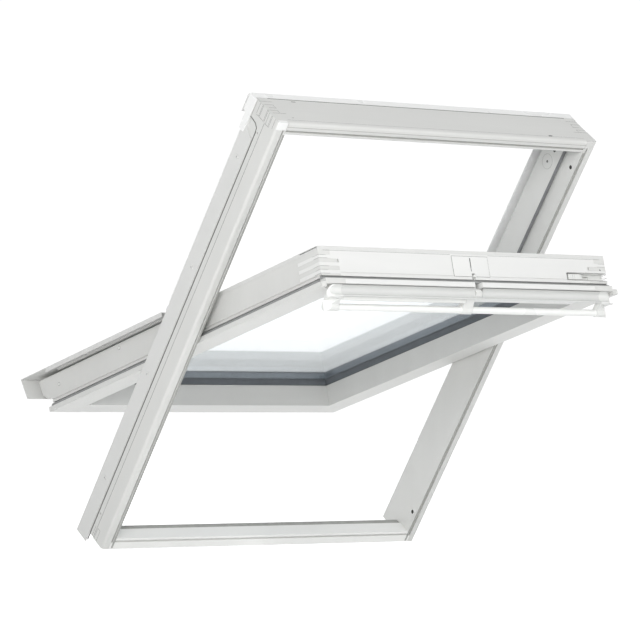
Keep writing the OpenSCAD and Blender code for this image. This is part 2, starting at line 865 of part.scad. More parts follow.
module latch_hook() {
    half = 7;
    color(steel) on_sash() {
        rod(latch_x - 15, latch_x + 15, latch_n, latch_s, 2);
        // lever in the flap's hollow front
        rod(latch_x - half, latch_x + half, latch_n, latch_s, 3);
        across(latch_x - half, latch_x + half)
            polygon([[latch_n - 4, latch_s - 2], [latch_n, latch_s + 4],
                     [latch_n - 5, latch_s + 14], [latch_n - 12, latch_s + 17],
                     [latch_n - 18, latch_s + 14], [latch_n - 12, latch_s + 12.5],
                     [latch_n - 9, latch_s + 8]]);
        // arm under the seal, with the claw behind the strike plate's lip
        across(latch_x - claw_half, latch_x + claw_half)
            polygon([[latch_n - 2, latch_s - 4], [latch_n + 6, latch_s - 5],
                     [latch_n + 18, latch_s - 3], [claw_n + 4, latch_s + 2],
                     [claw_n + 4, head_step - 1], [claw_n, head_step - 1],
                     [claw_n, latch_s + 5], [latch_n + 17, latch_s + 2.3],
                     [latch_n, latch_s + 2.3]]);
    }
}

module blank_plate() {
    half = 43.5;
    t = 0.6;
    color([0.96, 0.96, 0.95]) on_sash() difference() {
        block(lock_x - half, lock_x + half, sash_out - 50, sash_out - 11,
            sash_top, sash_top + t);
        // key slit, and the notch round the claw
        block(lock_x - 0.9, lock_x + 0.9, lock_n + 3, sash_out - 14,
            sash_top - 1, sash_top + 1);
        block(latch_x - claw_half - 1, latch_x + claw_half + 1, sash_out - 51, lock_n - 1,
            sash_top - 1, sash_top + 1);
    }
}

module bolt_guide() {
    h = 6.8;
    color(plastic_white) on_sash() difference() {
        block(bolt_x0, sash_half - 2, bolt_n - h, bolt_n + h, bolt_s - 7, bolt_s + h);
        rod(bolt_x0 + 4, sash_half, bolt_n, bolt_s, bolt_d / 2 + bolt_play);
        // window for the knob
        block(knob_x - 5, knob_x + 5 + bolt_travel, bolt_n - 3.3, bolt_n + 3.3,
            bolt_s, bolt_s + h + 1);
    }
}

module barrel_bolt() {
    color(steel) on_sash() {
        rod(bolt_tip - bolt_len, bolt_tip, bolt_n, bolt_s, bolt_d / 2);
        translate([knob_x, bolt_n, bolt_s]) cylinder(r = 2.8, h = 15);
        translate([knob_x, bolt_n, bolt_s + 12]) cylinder(r = 5, h = 4);
    }
}

// ---- vent flap ----

pin_half = 18;

module flap_hinges() {
    color(steel) on_sash()
        for (x = flap_hinge_x) {
            block(x - 8, x + 8, flap_hinge_n - 4, sash_room, flap_hinge_s - 5, flap_hinge_s + 5);
            rod(x - pin_half, x + pin_half, flap_hinge_n, flap_hinge_s, 2.5);
        }
}

// Hollow front of the flap, from its nose to the edge by the sash
scoop = concat(
    arc(scoop_n, scoop_s, scoop_r, 345, 198, 14),
    arc(scoop_n, scoop_s, scoop_out, 200, 318, 12),
    [[scoop_n + 10.5, scoop_s - 3.4]]);

module flap_profile() {
    color(plastic_white) on_sash() difference() {
        union() {
            across(-cap_in, cap_in) polygon(scoop);
            // knuckles
            for (x = flap_hinge_x, m = [-1, 1]) {
                x0 = x + m * 13 - 4.5;
                rod(x0, x0 + 9, flap_hinge_n, flap_hinge_s, 4.6);
                block(x0, x0 + 9, flap_hinge_n - 4.6, flap_hinge_n - 1.6,
                    flap_hinge_s, scoop_s - scoop_r - 0.5);
            }
        }
        for (x = flap_hinge_x)
            rod(x - 19, x + 19, flap_hinge_n, flap_hinge_s, 2.55);
        // notch for the latch hook
        block(latch_x - 9, latch_x + 9, scoop_n - 5, top_lip, sash_top - 30, scoop_s);
    }
}

module flap_seal() {
    n0 = sash_room + 0.5;
    n1 = sash_room + 2.5;
    color(seal_grey) on_sash() difference() {
        block(-cap_in, cap_in, n0, n1, sash_top + 0.4, scoop_s - scoop_r);
        rod(-flap_half, flap_half, scoop_n, scoop_s, scoop_out);
        block(latch_x - 9, latch_x + 9, 0, top_lip, 0, scoop_s);
    }
}

module grip_bar() {
    color(metal_white) on_sash() rod(-cap_in, cap_in, grip_n, grip_s, grip_d / 2);
}

// Side view of an end cap, reaching from the flap's hollow front round the bar
cap_outline = concat(
    arc(scoop_n, scoop_s, scoop_r, 345, 198, 14),
    [[scoop_n - scoop_out, scoop_s - 4], [grip_n + 7, grip_s + 12]],
    arc(grip_n, grip_s, 8, 70, 285, 14),
    [[grip_n + 9, grip_s - 4], [grip_n + 16, grip_s + 4], [scoop_n - 3, scoop_s - scoop_out - 4],
     [scoop_n + 3, scoop_s - scoop_out]],
    arc(scoop_n, scoop_s, scoop_out, 290, 340, 5));

// Cuts an outline of [x, height] through the depth from y0 to y1
module through(y0, y1) {
    translate([0, y1, 0]) rotate([90, 0, 0]) linear_extrude(y1 - y0) children();
}

module end_cap() {
    out = flap_half;
    split = scoop_n - scoop_out;
    difference() {
        across(cap_in, out) polygon(cap_outline);
        // slanted outer faces: beside the hollow front, and beside the bar
        through(split, sash_room + 20)
            polygon([[out + 1, scoop_s - 14], [out, scoop_s - 13], [out - 17, scoop_s + 2],
                     [out + 1, scoop_s + 2]]);
        through(grip_n - 20, split)
            polygon([[out + 1, grip_s - 3], [out, grip_s - 2], [out - 26, grip_s + 20],
                     [out + 1, grip_s + 20]]);
    }
}

module end_cap_left() {
    color(plastic_white) on_sash() mirror([1, 0, 0]) end_cap();
}

module end_cap_right() {
    color(plastic_white) on_sash() end_cap();
}

bracket_x = [-22, 2];

module centre_bracket() {
    color(plastic_white) on_sash() difference() {
        across(bracket_x[0], bracket_x[1])
            polygon([[scoop_n - 5, scoop_s - scoop_out - 2], [scoop_n - 9.2, scoop_s - 9],
                     [grip_n + 7, grip_s + 12], [grip_n, grip_s + 8], [grip_n - 6.5, grip_s + 6],
                     [grip_n - 8.5, grip_s], [grip_n - 6.5, grip_s - 6], [grip_n, grip_s - 8],
                     [grip_n + 9, grip_s - 4], [grip_n + 14, grip_s + 5]]);
        rod(bracket_x[0] - 1, bracket_x[1] + 1, grip_n, grip_s, grip_d / 2);
        rod(bracket_x[0] - 1, bracket_x[1] + 1, scoop_n, scoop_s, scoop_out);
    }
}

// Slat that closes the gap between the flap and the bar on the left
module grip_slat() {
    color(plastic_white) on_sash() difference() {
        across(-cap_in, bracket_x[0])
            polygon([[scoop_n - 6.5, scoop_s - 8.5], [scoop_n - 12, scoop_s - 8.4],
                     [grip_n + 7.5, grip_s + 20.2], [grip_n + 7.5, grip_s + 17.7],
                     [scoop_n - 11.5, scoop_s - 11], [scoop_n - 6, scoop_s - 11.5]]);
        rod(-flap_half, bracket_x[0] + 1, scoop_n, scoop_s, scoop_out);
    }
}

frame_left_rail();
frame_right_rail();
frame_top_rail();
frame_bottom_rail();
frame_step_seal();
frame_sill_seal();
side_cladding_left();
side_cladding_right();
top_cover();
upper_cover_left();
upper_cover_right();
cladding_screws();
hinge_frame_left();
hinge_frame_right();
hinge_frame_screws();
strike_plate();
bolt_bushes();
sash_left_rail();
sash_right_rail();
sash_top_rail();
sash_bottom_rail();
sash_seal();
inner_pane();
outer_pane();
pane_spacer();
inner_glazing_seal();
outer_glazing_seal();
setting_blocks();
glazing_bead_left();
glazing_bead_right();
glazing_bead_top();
lower_cover_left();
lower_cover_right();
bottom_cover();
cover_screws();
hinge_sash_left();
hinge_sash_right();
hinge_sash_screws();
lock_case();
latch_hook();
blank_plate();
bolt_guide();
barrel_bolt();
flap_hinges();
flap_profile();
flap_seal();
grip_bar();
grip_slat();
end_cap_left();
end_cap_right();
centre_bracket();
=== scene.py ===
import math
import bpy
import numpy
from mathutils import Matrix, Vector


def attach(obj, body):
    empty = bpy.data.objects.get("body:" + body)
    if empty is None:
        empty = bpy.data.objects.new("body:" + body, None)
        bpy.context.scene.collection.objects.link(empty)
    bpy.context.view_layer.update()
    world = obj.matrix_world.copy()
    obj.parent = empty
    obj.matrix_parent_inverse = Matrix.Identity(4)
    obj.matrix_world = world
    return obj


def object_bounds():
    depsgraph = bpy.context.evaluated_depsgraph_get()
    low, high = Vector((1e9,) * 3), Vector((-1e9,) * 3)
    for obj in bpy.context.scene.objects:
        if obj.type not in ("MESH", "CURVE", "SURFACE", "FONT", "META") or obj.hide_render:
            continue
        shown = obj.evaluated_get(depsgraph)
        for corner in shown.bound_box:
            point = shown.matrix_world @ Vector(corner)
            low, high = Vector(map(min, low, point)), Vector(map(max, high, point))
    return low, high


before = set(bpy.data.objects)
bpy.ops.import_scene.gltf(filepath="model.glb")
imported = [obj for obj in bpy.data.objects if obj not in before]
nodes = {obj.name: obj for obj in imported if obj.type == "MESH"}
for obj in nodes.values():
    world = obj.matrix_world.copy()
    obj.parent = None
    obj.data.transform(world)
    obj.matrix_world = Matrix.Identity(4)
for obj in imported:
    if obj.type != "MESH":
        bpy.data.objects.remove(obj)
cadBox = [list(corner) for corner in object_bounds()]
print("stage: frame loaded,", len(nodes), "nodes")

# The window's own measures are millimetres: x across, depth from the room face
# outwards, height up the slope. The sash has the same measures as if closed.
roofPitch = math.radians(54.25)
openBy = math.radians(40)
pivotDepth = 110
pivotHeight = 488


def inRoof(x, depth, height):
    y = depth * math.sin(roofPitch) - height * math.cos(roofPitch)
    z = depth * math.cos(roofPitch) + height * math.sin(roofPitch)
    return Vector((x, y, z)) / 1000


def onSash(x, depth, height):
    d, h = depth - pivotDepth, height - pivotHeight
    turnedDepth = d * math.cos(openBy) - h * math.sin(openBy)
    turnedHeight = d * math.sin(openBy) + h * math.cos(openBy)
    return inRoof(x, pivotDepth + turnedDepth, pivotHeight + turnedHeight)


# camera, floor and light
camera = {
    "lens": 204.8, "sensor": 36, "reach": 60, "at": (-4.3802, -5.8647, 0.2527),
    "azimuth": math.radians(37.66), "tilt": math.radians(1.56)}


def makeCamera(c):
    data = bpy.data.cameras.new("studioCamera")
    data.lens = c["lens"]
    data.sensor_width = c["sensor"]
    data.clip_end = c["reach"]
    cam = bpy.data.objects.new("studioCamera", data)
    bpy.context.scene.collection.objects.link(cam)
    look = Vector((
        math.sin(c["azimuth"]) * math.cos(c["tilt"]),
        math.cos(c["azimuth"]) * math.cos(c["tilt"]),
        math.sin(c["tilt"])))
    cam.location = c["at"]
    cam.rotation_euler = look.to_track_quat("-Z", "Y").to_euler()
    bpy.context.scene.camera = cam


makeCamera(camera)

studio = {
    "fill": 0.37, "fillTint": (0.97, 0.99, 1, 1), "backdrop": 1.05, "aim": (0, -0.2, 0.42),
    "floorDrop": 0.004, "floorSize": 60, "floorGlow": 0.8, "floorTint": (0.93, 0.93, 0.93, 1),
    "floorRough": 0.9, "floorShine": 0.1,
    "lamps": [
        {"name": "frontTop", "at": (0.6, -4.2, 3.4), "size": 2.4, "power": 38},
        {"name": "frontLeft", "at": (-3.6, -3.6, 1.2), "size": 2.4, "power": 112},
        {"name": "frontRight", "at": (3.4, -3.8, 1.2), "size": 2.4, "power": 20},
        {"name": "backTop", "at": (-1.2, 4.6, 3.6), "size": 2.4, "power": 36}]}


def makeStudio(s):
    world = bpy.data.worlds.new("studioWorld")
    bpy.context.scene.world = world
    world.use_nodes = True
    tree = world.node_tree
    tree.nodes.clear()
    out = tree.nodes.new("ShaderNodeOutputWorld")
    mix = tree.nodes.new("ShaderNodeMixShader")
    lit = tree.nodes.new("ShaderNodeBackground")
    seen = tree.nodes.new("ShaderNodeBackground")
    path = tree.nodes.new("ShaderNodeLightPath")
    lit.inputs["Color"].default_value = s["fillTint"]
    lit.inputs["Strength"].default_value = s["fill"]
    seen.inputs["Color"].default_value = (1, 1, 1, 1)
    seen.inputs["Strength"].default_value = s["backdrop"]
    tree.links.new(path.outputs["Is Diffuse Ray"], mix.inputs["Fac"])
    tree.links.new(seen.outputs[0], mix.inputs[1])
    tree.links.new(lit.outputs[0], mix.inputs[2])
    tree.links.new(mix.outputs[0], out.inputs["Surface"])
    aim = Vector(s["aim"])
    for lamp in s["lamps"]:
        data = bpy.data.lights.new(lamp["name"], "AREA")
        data.shape = "DISK"
        data.size = lamp["size"]
        data.energy = lamp["power"]
        obj = bpy.data.objects.new(lamp["name"], data)
        bpy.context.scene.collection.objects.link(obj)
        obj.location = lamp["at"]
        obj.rotation_euler = (aim - Vector(lamp["at"])).to_track_quat("-Z", "Y").to_euler()
    bpy.ops.object.select_all(action="DESELECT")
    low = cadBox[0][2] - s["floorDrop"]
    bpy.ops.mesh.primitive_plane_add(size=s["floorSize"], location=(0, 0, low))
    floor = bpy.context.object
    floor.name = "studioFloor"
    mat = bpy.data.materials.new("paleFloor")
    mat.use_nodes = True
    shader = mat.node_tree.nodes["Principled BSDF"]
    shader.inputs["Base Color"].default_value = s["floorTint"]
    shader.inputs["Roughness"].default_value = s["floorRough"]
    shader.inputs["Specular IOR Level"].default_value = s["floorShine"]
    shader.inputs["Emission Color"].default_value = (1, 1, 1, 1)
    path = mat.node_tree.nodes.new("ShaderNodeLightPath")  # bright to look at, but it lights nothing
    glow = mat.node_tree.nodes.new("ShaderNodeMapRange")
    glow.inputs["To Min"].default_value = s["floorGlow"]
    glow.inputs["To Max"].default_value = 0
    mat.node_tree.links.new(path.outputs["Is Diffuse Ray"], glow.inputs["Value"])
    mat.node_tree.links.new(glow.outputs[0], shader.inputs["Emission Strength"])
    floor.data.materials.append(mat)


makeStudio(studio)
bpy.context.scene.view_settings.view_transform = "Standard"
print("stage: camera, floor and light")

# finishes
# lean turns a pattern so that its Z runs up the slope; the sash leans less
frameLean = math.radians(-35.75)
sashLean = math.radians(4.25)
noiseLow = 0.3  # the part of a noise's reach that a pattern uses
noiseHigh = 0.7


def newFinish(name, color, rough, metal=0.0):
    mat = bpy.data.materials.new(name)
    mat.use_nodes = True
    shader = mat.node_tree.nodes["Principled BSDF"]
    shader.inputs["Base Color"].default_value = (*color, 1)
    shader.inputs["Roughness"].default_value = rough
    shader.inputs["Metallic"].default_value = metal
    return mat, mat.node_tree, shader


def addPattern(tree, lean, scale, detail, rough=0.5):
    # scale is how fine the pattern is across, outwards and up the slope
    place = tree.nodes.new("ShaderNodeTexCoord")
    turn = tree.nodes.new("ShaderNodeMapping")
    turn.inputs["Rotation"].default_value = (lean, 0, 0)
    turn.inputs["Scale"].default_value = scale
    noise = tree.nodes.new("ShaderNodeTexNoise")
    noise.inputs["Scale"].default_value = 1.0
    noise.inputs["Detail"].default_value = detail
    noise.inputs["Roughness"].default_value = rough
    tree.links.new(place.outputs["Object"], turn.inputs["Vector"])
    tree.links.new(turn.outputs["Vector"], noise.inputs["Vector"])
    return noise.outputs["Fac"]


def tintCloud(tree, shader, fac, tint, darker, top=0.7):
    # the colour drifts between the tint and a slightly darker one
    ramp = tree.nodes.new("ShaderNodeValToRGB")
    ramp.color_ramp.elements[0].position = noiseLow
    ramp.color_ramp.elements[1].position = top
    ramp.color_ramp.elements[0].color = (*(c * darker for c in tint), 1)
    ramp.color_ramp.elements[1].color = (*tint, 1)
    tree.links.new(fac, ramp.inputs["Fac"])
    tree.links.new(ramp.outputs["Color"], shader.inputs["Base Color"])


def varyRough(tree, shader, fac, smooth, dull):
    span = tree.nodes.new("ShaderNodeMapRange")
    span.inputs["From Min"].default_value = noiseLow
    span.inputs["From Max"].default_value = noiseHigh
    span.inputs["To Min"].default_value = smooth
    span.inputs["To Max"].default_value = dull
    tree.links.new(fac, span.inputs["Value"])
    tree.links.new(span.outputs["Result"], shader.inputs["Roughness"])


def addBump(tree, shader, height, strength, depth, edge=0):
    # edge is the radius that sharp edges seem to have, in metres
    bump = tree.nodes.new("ShaderNodeBump")
    bump.inputs["Strength"].default_value = strength
    bump.inputs["Distance"].default_value = depth
    tree.links.new(height, bump.inputs["Height"])
    if edge:
        bevel = tree.nodes.new("ShaderNodeBevel")
        bevel.samples = 4
        bevel.inputs["Radius"].default_value = edge
        tree.links.new(bevel.outputs["Normal"], bump.inputs["Normal"])
    tree.links.new(bump.outputs["Normal"], shader.inputs["Normal"])


# white paint over pine: the grain only just shows through
timber = {"grain": (260, 9), "grainDetail": 6, "grainRough": 0.6, "cloud": (20, 3), "cloudDetail": 3,
          "darker": 0.965, "plainRough": 0.42, "rough": (0.36, 0.5), "bump": 0.12,
          "bumpDepth": 0.0006, "edge": 0.0012, "coat": 0.15, "coatRough": 0.3}


def makeTimber(name, lean, alongX, tint, t=timber):
    mat, tree, shader = newFinish(name, tint, t["plainRough"])
    (across, along), (wide, long) = t["grain"], t["cloud"]
    grain = addPattern(tree, lean, (along, across, across) if alongX else (across, across, along),
                       t["grainDetail"], t["grainRough"])
    cloud = addPattern(tree, lean, (long, wide, wide) if alongX else (wide, wide, long), t["cloudDetail"])
    tintCloud(tree, shader, cloud, tint, t["darker"])
    varyRough(tree, shader, grain, *t["rough"])
    addBump(tree, shader, grain, t["bump"], t["bumpDepth"], t["edge"])
    shader.inputs["Coat Weight"].default_value = t["coat"]
    shader.inputs["Coat Roughness"].default_value = t["coatRough"]
    return mat


# powder coat: a fine even orange peel
coat = {"peel": 900, "cloud": 12, "detail": 2, "darker": 0.975, "smoother": 0.05, "duller": 0.06,
        "bump": 0.1, "bumpDepth": 0.0002}


def makePainted(name, lean, tint, rough, edge=0.0008, p=coat):
    mat, tree, shader = newFinish(name, tint, rough)
    peel = addPattern(tree, lean, (p["peel"],) * 3, p["detail"])
    cloud = addPattern(tree, lean, (p["cloud"],) * 3, p["detail"])
    tintCloud(tree, shader, cloud, tint, p["darker"])
    varyRough(tree, shader, cloud, rough - p["smoother"], rough + p["duller"])
    addBump(tree, shader, peel, p["bump"], p["bumpDepth"], edge)
    return mat


# moulded plastic: a very fine grain, and light goes a little way in
moulded = {"grain": 1500, "cloud": 25, "detail": 2, "darker": 0.98, "smoother": 0.04, "duller": 0.05,
           "bump": 0.08, "bumpDepth": 0.0001, "edge": 0.0006, "soft": 0.05, "softReach": 0.002}


def makePlastic(name, tint, rough, p=moulded):
    mat, tree, shader = newFinish(name, tint, rough)
    grain = addPattern(tree, 0, (p["grain"],) * 3, p["detail"])
    cloud = addPattern(tree, 0, (p["cloud"],) * 3, p["detail"])
    tintCloud(tree, shader, cloud, tint, p["darker"])
    varyRough(tree, shader, grain, rough - p["smoother"], rough + p["duller"])
    addBump(tree, shader, grain, p["bump"], p["bumpDepth"], p["edge"])
    shader.inputs["Subsurface Weight"].default_value = p["soft"]
    shader.inputs["Subsurface Radius"].default_value = (p["softReach"],) * 3
    return mat


# rubber, dark seams, and the dark marks of painted shade: a dull bloom over a fine grain
rubber = {"bloom": 60, "bloomDetail": 4, "bloomTop": 0.72, "darker": 0.82, "plainRough": 0.68,
          "rough": (0.6, 0.78), "grain": 1200, "grainDetail": 2, "bump": 0.15, "bumpDepth": 0.0002}


def makeRubber(name, tint, r=rubber):
    mat, tree, shader = newFinish(name, tint, r["plainRough"])
    bloom = addPattern(tree, 0, (r["bloom"],) * 3, r["bloomDetail"])
    tintCloud(tree, shader, bloom, tint, r["darker"], r["bloomTop"])
    varyRough(tree, shader, bloom, *r["rough"])
    grain = addPattern(tree, 0, (r["grain"],) * 3, r["grainDetail"])
    addBump(tree, shader, grain, r["bump"], r["bumpDepth"])
    return mat


# bright zinc: faint clouds and rolled streaks
zinc = {"metal": 0.9, "cloud": 70, "cloudDetail": 4, "cloudTop": 0.72, "darker": 0.86,
        "plainRough": 0.34, "rough": (0.28, 0.42), "streak": (40, 1400, 1400),
        "streakDetail": 3, "bump": 0.08, "bumpDepth": 0.0002, "edge": 0.0003}


def makeZinc(name, tint, z=zinc):
    mat, tree, shader = newFinish(name, tint, z["plainRough"], z["metal"])
    cloud = addPattern(tree, 0, (z["cloud"],) * 3, z["cloudDetail"])
    streak = addPattern(tree, sashLean, z["streak"], z["streakDetail"])
    tintCloud(tree, shader, cloud, tint, z["darker"], z["cloudTop"])
    varyRough(tree, shader, cloud, *z["rough"])
    addBump(tree, shader, streak, z["bump"], z["bumpDepth"], z["edge"])
    return mat


pane = {"ior": 1.3, "haze": 6, "detail": 2, "plainRough": 0.02, "rough": (0, 0.03)}


def makeGlass(name, tint, g=pane):
    mat, tree, shader = newFinish(name, tint, g["plainRough"])
    shader.inputs["Transmission Weight"].default_value = 1
    shader.inputs["IOR"].default_value = g["ior"]
    haze = addPattern(tree, 0, (g["haze"],) * 3, g["detail"])
    varyRough(tree, shader, haze, *g["rough"])
    return mat


whitePaint = (0.72, 0.72, 0.7)
finish = {
    "frameUp": makeTimber("paintedPineUpright", frameLean, False, whitePaint),
    "frameAcross": makeTimber("paintedPineAcross", frameLean, True, whitePaint),
    "sashUp": makeTimber("paintedPineSashUpright", sashLean, False, whitePaint),
    "sashAcross": makeTimber("paintedPineSashAcross", sashLean, True, whitePaint),
    # the sash head's white is a brighter copy of the rails' paint: painted light, as the head is lit more
    # strongly
    "sashHead": makeTimber("sashHeadLitPaint", sashLean, True, (0.83, 0.83, 0.815)),
    "metal": makePainted("whiteMetal", frameLean, (0.735, 0.735, 0.72), 0.34),
    # the covers' white is whiter than the cladding's and raised further as a painted highlight for the
    # bright band along the head
    "coverMetal": makePainted("headCoverWhiteAndLit", frameLean, (0.95, 0.95, 0.94), 0.3),
    "plate": makePainted("plainPlate", sashLean, (0.845, 0.845, 0.83), 0.4, 0.0002),
    "bar": makePainted("barCoat", sashLean, (0.95, 0.955, 0.935), 0.3, 0.0004),
    "zinc": makeZinc("brightZinc", (0.74, 0.75, 0.76)),
    "seal": makeRubber("greySeal", (0.36, 0.365, 0.365)),
    "stepSeal": makeRubber("stepSeal", (0.24, 0.245, 0.25)),
    "glazingSeal": makeRubber("glazingSeal", (0.15, 0.165, 0.18)),
    "hairline": makeRubber("paintCrack", (0.13, 0.13, 0.12)),
    # this dark grey is the flap seal's rubber, the dark marks in the head, and painted shade in gaps,
    # slits, holes, bores and round plugs
    "gap": makeRubber("darkSealAndShade", (0.12, 0.12, 0.115)),
    # near black zinc: painted shade inside the cross recesses of the screw heads
    "recess": makeZinc("recessShadeZinc", (0.16, 0.16, 0.165)),
    "edgeShade": makeRubber("edgeShade", (0.42, 0.42, 0.4)),
    # the sill's white is a brighter copy of the rails' paint: painted light on the sill
    "sill": makeTimber("paintedPineSillLit", frameLean, True, (0.9, 0.9, 0.88)),
    # whiter paint: a painted highlight on the corner block
    "highlightPaint": makeTimber("paintedHighlight", frameLean, False, (0.93, 0.93, 0.92)),
    "plastic": makePlastic("whitePlastic", (0.8, 0.805, 0.785), 0.36),
    # a darker copy of the white plastic: painted shade in the flap's channel
    "flap": makePlastic("flapPlasticShaded", (0.7, 0.705, 0.69), 0.3),
    "spacer": makeZinc("greySpacer", (0.42, 0.45, 0.48)),
    "glass": makeGlass("clearGlass", (0.955, 0.98, 0.995))}

finishOf = {
    "frame_left_rail": "frameUp", "frame_right_rail": "frameUp",
    "frame_top_rail": "frameAcross", "frame_bottom_rail": "sill",
    "sash_left_rail": "sashUp", "sash_right_rail": "sashUp",
    "sash_bottom_rail": "sashAcross", "sash_top_rail": "sashHead",
    "frame_step_seal": "stepSeal", "frame_sill_seal": "edgeShade", "sash_seal": "seal",
    "inner_glazing_seal": "glazingSeal", "outer_glazing_seal": "glazingSeal", "setting_blocks": "seal",
    "flap_seal": "gap", "pane_spacer": "spacer",
    "inner_pane": "glass", "outer_pane": "glass",
    "side_cladding_left": "metal", "side_cladding_right": "metal", "top_cover": "coverMetal",
    "upper_cover_left": "coverMetal", "upper_cover_right": "coverMetal",
    "glazing_bead_left": "metal", "glazing_bead_right": "metal", "glazing_bead_top": "metal",
    "lower_cover_left": "metal", "lower_cover_right": "metal", "bottom_cover": "metal",
    "blank_plate": "plate", "grip_bar": "bar",
    "cladding_screws": "metal", "hinge_frame_left": "zinc", "hinge_frame_right": "zinc",
    "hinge_frame_screws": "zinc", "strike_plate": "zinc", "cover_screws": "zinc",
    "hinge_sash_left": "zinc", "hinge_sash_right": "zinc", "hinge_sash_screws": "zinc",
    "lock_case": "zinc", "latch_hook": "plastic", "barrel_bolt": "plastic",
    "flap_hinges": "zinc", "bolt_bushes": "plastic", "bolt_guide": "plastic",
    "flap_profile": "flap", "grip_slat": "plastic", "end_cap_left": "plastic",
    "end_cap_right": "plastic", "centre_bracket": "plastic"}

for name, obj in nodes.items():
    obj.data.materials.clear()
    obj.data.materials.append(finish[finishOf[name]])
print("stage: finishes on", len(nodes), "nodes")


def bakePlace(obj, where):
    # puts a piece modelled flat in window measures onto the frame or the sash
    if where:
        for v in obj.data.vertices:
            c = v.co * 1000
            v.co = where(c.x, c.y, c.z)
    obj.data.update()
    bpy.ops.object.select_all(action="DESELECT")
    bpy.context.view_layer.objects.active = obj
    obj.select_set(True)
    bpy.ops.object.mode_set(mode="EDIT")
    bpy.ops.mesh.select_all(action="SELECT")
    bpy.ops.mesh.normals_make_consistent(inside=False)
    bpy.ops.object.mode_set(mode="OBJECT")
    obj.select_set(False)


def addBar(low, high, turn=0.0):
    # a bar between two corners in window millimetres, x, depth, height
    lowAt, highAt = Vector(low), Vector(high)
    middle, span = (lowAt + highAt) / 2000, (highAt - lowAt) / 1000
    bpy.ops.object.select_all(action="DESELECT")
    bpy.ops.mesh.primitive_cube_add(size=1, location=middle, rotation=(turn, 0, 0))
    bar = bpy.context.object
    bar.scale = [abs(v) for v in span]
    bpy.ops.object.transform_apply(location=True, rotation=True, scale=True)
    return bar


def addRod(middle, radius, length, along, sides):
    # a rod along X or the height, with its middle in window millimetres
    turn = {"x": (0, math.pi / 2, 0), "height": (0, 0, 0)}[along]
    bpy.ops.object.select_all(action="DESELECT")
    bpy.ops.mesh.primitive_cylinder_add(
        vertices=sides, radius=radius / 1000, depth=length / 1000,
        location=Vector(middle) / 1000, rotation=turn)
    bpy.ops.object.transform_apply(location=True, rotation=True, scale=True)
    return bpy.context.object


def strokeBars(x, points, wide, thick):
    # thin bars end to end through points of a side face, each point depth and height
    bars = []
    for (d0, h0), (d1, h1) in zip(points, points[1:]):
        length = math.hypot(d1 - d0, h1 - h0) + wide
        middle = Vector((x, (d0 + d1) / 2, (h0 + h1) / 2))
        half = Vector((thick / 2, length / 2, wide / 2))
        bars.append(addBar(middle - half, middle + half, math.atan2(h1 - h0, d1 - d0)))
    return bars


def joinAll(parts, name):
    bpy.ops.object.select_all(action="DESELECT")
    for part in parts:
        part.select_set(True)
    bpy.context.view_layer.objects.active = parts[0]
    if len(parts) > 1:
        bpy.ops.object.join()
    whole = bpy.context.object
    whole.name = name
    whole.data.name = name
    return whole


def softenEdges(obj, width, steps=2):
    bpy.ops.object.select_all(action="DESELECT")
    bpy.context.view_layer.objects.active = obj
    obj.select_set(True)
    mod = obj.modifiers.new("softEdges", "BEVEL")
    mod.width = width / 1000
    mod.segments = steps
    mod.limit_method = "ANGLE"
    bpy.ops.object.modifier_apply(modifier=mod.name)


def setDown(obj, where, look, body):
    obj.data.materials.clear()
    obj.data.materials.append(finish[look])
    bakePlace(obj, where)
    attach(obj, body)


def addLines(name, parts, where, look, body, soft=0.1):
    whole = joinAll(parts, name)
    softenEdges(whole, soft, 1)
    setDown(whole, where, look, body)


def faceBar(side, face, depths, heights, d):
    # a hairline on a side face: it stands a little proud and reaches a little in
    xs = sorted((side * (face + d["proud"]), side * (face - d["sunk"])))
    return addBar((xs[0], depths[0], heights[0]), (xs[1], depths[1], heights[1]))


def headBar(side, across, top, depths, d):
    # the same on a head face
    xs = sorted((side * across[0], side * across[1]))
    return addBar((xs[0], depths[0], top - d["sunk"]), (xs[1], depths[1], top + d["proud"]))


# hairlines where the paint has opened along the finger joints; each side line is
# depth, face and lowest point, each head line depth and reach across
frameJoint = {
    "wide": 0.65, "proud": 0.06, "sunk": 0.3, "top": 978,
    "side": ((11, 390, 957), (21.5, 390, 953), (24, 390, 953), (33, 390, 953), (40.5, 388.5, 953),
             (43, 388.5, 953), (58, 388.5, 953), (60.5, 388.5, 953), (69, 388.5, 955)),
    "steps": ((24, 33, 390), (43, 58, 388.5), (60.5, 69, 388.5)),
    "head": ((33.6, 383, 352), (43, 389, 366), (52, 380, 363), (62.5, 389, 365), (73.5, 389, 360)),
    "headEnds": ((33.6, 43, 366), (52, 62.5, 365)),
    "lowest": 953, "foot": ((24, 390), (33, 390), (43, 388.5)), "footEnds": (1, 25)}


def makeFrameJoint(side, d):
    w, footTop = d["wide"], d["footEnds"][1]
    parts = [faceBar(side, face, (n, n + w), (low, d["top"]), d) for n, face, low in d["side"]]
    parts += [faceBar(side, face, (n0, n1), (d["lowest"], d["lowest"] + w), d)
              for n0, n1, face in d["steps"]]
    parts += [faceBar(side, face, (n, n + w), d["footEnds"], d) for n, face in d["foot"]]
    parts.append(faceBar(side, d["foot"][0][1], (d["foot"][0][0], d["foot"][1][0]),
                         (footTop, footTop + w), d))
    parts += [headBar(side, (x0, x1), d["top"], (n, n + w), d) for n, x0, x1 in d["head"]]
    parts += [headBar(side, (x, x + w), d["top"], (n0, n1), d) for n0, n1, x in d["headEnds"]]
    return parts


for side, tag in ((-1, "Left"), (1, "Right")):
    addLines("frameJointLines" + tag, makeFrameJoint(side, frameJoint), inRoof,
             "hairline", "frame")

# comb of the sash's head corners: depth, reach down the side and reach across the head
sashJoint = {
    "fingers": ((55, 18, 21), (62, 15, 18), (69, 19, 21), (84, 16, 20), (90, 19, 17)),
    "face": 349, "top": 937, "wide": 0.5, "proud": 0.06, "sunk": 0.3}


